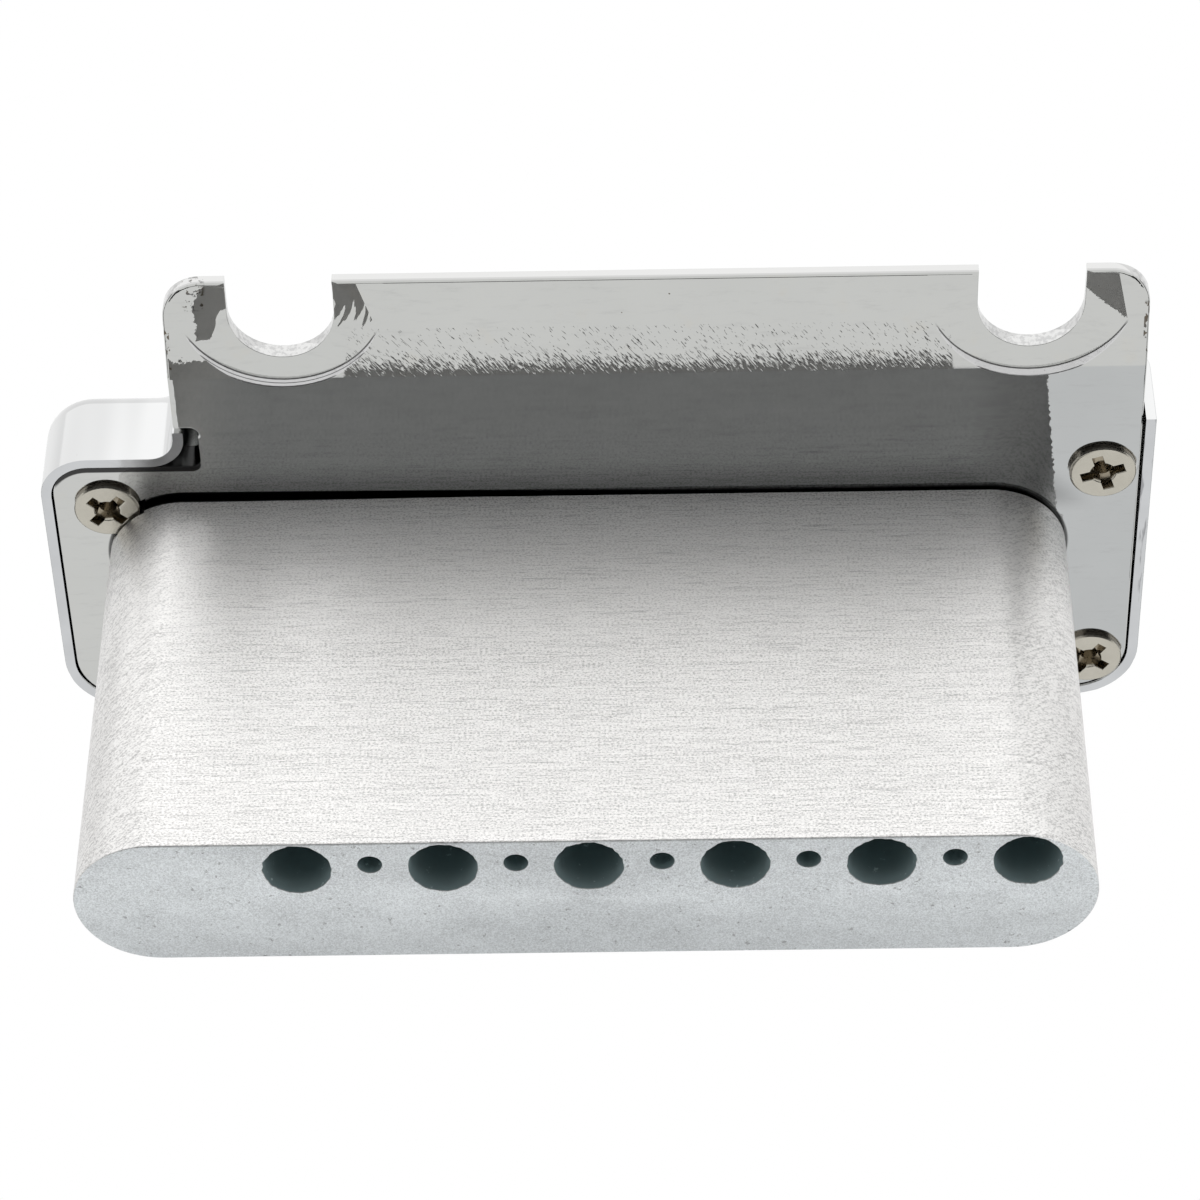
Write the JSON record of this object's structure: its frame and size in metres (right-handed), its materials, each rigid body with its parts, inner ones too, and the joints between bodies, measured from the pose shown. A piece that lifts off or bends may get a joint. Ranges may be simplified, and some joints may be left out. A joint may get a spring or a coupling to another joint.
{
  "type": "guitar tremolo bridge",
  "caption": "Knife-edge guitar tremolo bridge: chromed base plate and cover, brushed sustain block with string holes, saddles with height and intonation screws.",
  "frame": {"origin": "middle of the pivot line between the two notches, at the level of the plate's flat underside", "axes": "+Z out of the guitar's face, -Y towards the neck, -X to the treble side"},
  "size_m": [0.0854, 0.0434, 0.0479],
  "materials": {
    "plate_chrome": "polished chrome plating",
    "cover_chrome": "polished chrome plating",
    "block_alloy": "brushed sides, blasted end",
    "screw_nickel": "nickel plated",
    "saddle_steel": "satin plated",
    "rail_steel": "satin",
    "socket_steel": "turned and plated",
    "bush_plastic": "black acetal",
    "nut_brass": "machined",
    "screw_steel": "nickel plated",
    "clip_steel": "spring steel",
    "grub_steel": "dark hardened steel"
  },
  "bodies": {
    "base": {"base_plate": "plate_chrome", "sustain_block": "block_alloy", "top_cover": "cover_chrome", "cover_screws": "screw_nickel", "block_screws": "screw_nickel", "intonation_rail": "rail_steel", "rail_screws": "screw_nickel", "arm_socket": "socket_steel", "arm_bush": "bush_plastic"},
    "carriage_1": {"height_screws_1": "grub_steel", "intonation_nut_1": "nut_brass"},
    "saddle_1": {"saddle_1": "saddle_steel"},
    "turn_screw_1": {"intonation_screw_1": "screw_steel", "screw_clip_1": "clip_steel"},
    "carriage_2": {"height_screws_2": "grub_steel", "intonation_nut_2": "nut_brass"},
    "saddle_2": {"saddle_2": "saddle_steel"},
    "turn_screw_2": {"intonation_screw_2": "screw_steel", "screw_clip_2": "clip_steel"},
    "carriage_3": {"height_screws_3": "grub_steel", "intonation_nut_3": "nut_brass"},
    "saddle_3": {"saddle_3": "saddle_steel"},
    "turn_screw_3": {"intonation_screw_3": "screw_steel", "screw_clip_3": "clip_steel"},
    "carriage_4": {"height_screws_4": "grub_steel", "intonation_nut_4": "nut_brass"},
    "saddle_4": {"saddle_4": "saddle_steel"},
    "turn_screw_4": {"intonation_screw_4": "screw_steel", "screw_clip_4": "clip_steel"},
    "carriage_5": {"height_screws_5": "grub_steel", "intonation_nut_5": "nut_brass"},
    "saddle_5": {"saddle_5": "saddle_steel"},
    "turn_screw_5": {"intonation_screw_5": "screw_steel", "screw_clip_5": "clip_steel"},
    "carriage_6": {"height_screws_6": "grub_steel", "intonation_nut_6": "nut_brass"},
    "saddle_6": {"saddle_6": "saddle_steel"},
    "turn_screw_6": {"intonation_screw_6": "screw_steel", "screw_clip_6": "clip_steel"}
  },
  "joints": [
    {"name": "intonation_screw_1_turn", "type": "hinge", "parent": "base", "child": "turn_screw_1", "pos_m": [-0.02625, 0.0318, 0.00505], "axis": [0, 1, 0], "range_deg": [-2400.1, 2400.1]},
    {"name": "saddle_1_intonation", "type": "slide", "parent": "base", "child": "carriage_1", "axis": [0, 1, 0], "range_m": [-0.003, 0.003]},
    {"name": "saddle_1_height", "type": "slide", "parent": "carriage_1", "child": "saddle_1", "axis": [0, 0, 1], "range_m": [0, 0.002]},
    {"name": "intonation_screw_2_turn", "type": "hinge", "parent": "base", "child": "turn_screw_2", "pos_m": [-0.01575, 0.0318, 0.00505], "axis": [0, 1, 0], "range_deg": [-1760.1, 3040.1]},
    {"name": "saddle_2_intonation", "type": "slide", "parent": "base", "child": "carriage_2", "axis": [0, 1, 0], "range_m": [-0.0038, 0.0022]},
    {"name": "saddle_2_height", "type": "slide", "parent": "carriage_2", "child": "saddle_2", "axis": [0, 0, 1], "range_m": [-0.00072, 0.00128]},
    {"name": "intonation_screw_3_turn", "type": "hinge", "parent": "base", "child": "turn_screw_3", "pos_m": [-0.00525, 0.0318, 0.00505], "axis": [0, 1, 0], "range_deg": [-1120.1, 3680.1]},
    {"name": "saddle_3_intonation", "type": "slide", "parent": "base", "child": "carriage_3", "axis": [0, 1, 0], "range_m": [-0.0046, 0.0014]},
    {"name": "saddle_3_height", "type": "slide", "parent": "carriage_3", "child": "saddle_3", "axis": [0, 0, 1], "range_m": [-0.00108, 0.00092]},
    {"name": "intonation_screw_4_turn", "type": "hinge", "parent": "base", "child": "turn_screw_4", "pos_m": [0.00525, 0.0318, 0.00505], "axis": [0, 1, 0], "range_deg": [-2400.1, 2400.1]},
    {"name": "saddle_4_intonation", "type": "slide", "parent": "base", "child": "carriage_4", "axis": [0, 1, 0], "range_m": [-0.003, 0.003]},
    {"name": "saddle_4_height", "type": "slide", "parent": "carriage_4", "child": "saddle_4", "axis": [0, 0, 1], "range_m": [-0.00108, 0.00092]},
    {"name": "intonation_screw_5_turn", "type": "hinge", "parent": "base", "child": "turn_screw_5", "pos_m": [0.01575, 0.0318, 0.00505], "axis": [0, 1, 0], "range_deg": [-1760.1, 3040.1]},
    {"name": "saddle_5_intonation", "type": "slide", "parent": "base", "child": "carriage_5", "axis": [0, 1, 0], "range_m": [-0.0038, 0.0022]},
    {"name": "saddle_5_height", "type": "slide", "parent": "carriage_5", "child": "saddle_5", "axis": [0, 0, 1], "range_m": [-0.00072, 0.00128]},
    {"name": "intonation_screw_6_turn", "type": "hinge", "parent": "base", "child": "turn_screw_6", "pos_m": [0.02625, 0.0318, 0.00505], "axis": [0, 1, 0], "range_deg": [-1120.1, 3680.1]},
    {"name": "saddle_6_intonation", "type": "slide", "parent": "base", "child": "carriage_6", "axis": [0, 1, 0], "range_m": [-0.0046, 0.0014]},
    {"name": "saddle_6_height", "type": "slide", "parent": "carriage_6", "child": "saddle_6", "axis": [0, 0, 1], "range_m": [0, 0.002]}
  ],
  "couplings": [
    {"joint": "intonation_screw_1_turn", "follows": "saddle_1_intonation", "rad_per_m": -13963},
    {"joint": "intonation_screw_2_turn", "follows": "saddle_2_intonation", "rad_per_m": -13963},
    {"joint": "intonation_screw_3_turn", "follows": "saddle_3_intonation", "rad_per_m": -13963},
    {"joint": "intonation_screw_4_turn", "follows": "saddle_4_intonation", "rad_per_m": -13963},
    {"joint": "intonation_screw_5_turn", "follows": "saddle_5_intonation", "rad_per_m": -13963},
    {"joint": "intonation_screw_6_turn", "follows": "saddle_6_intonation", "rad_per_m": -13963}
  ]
}
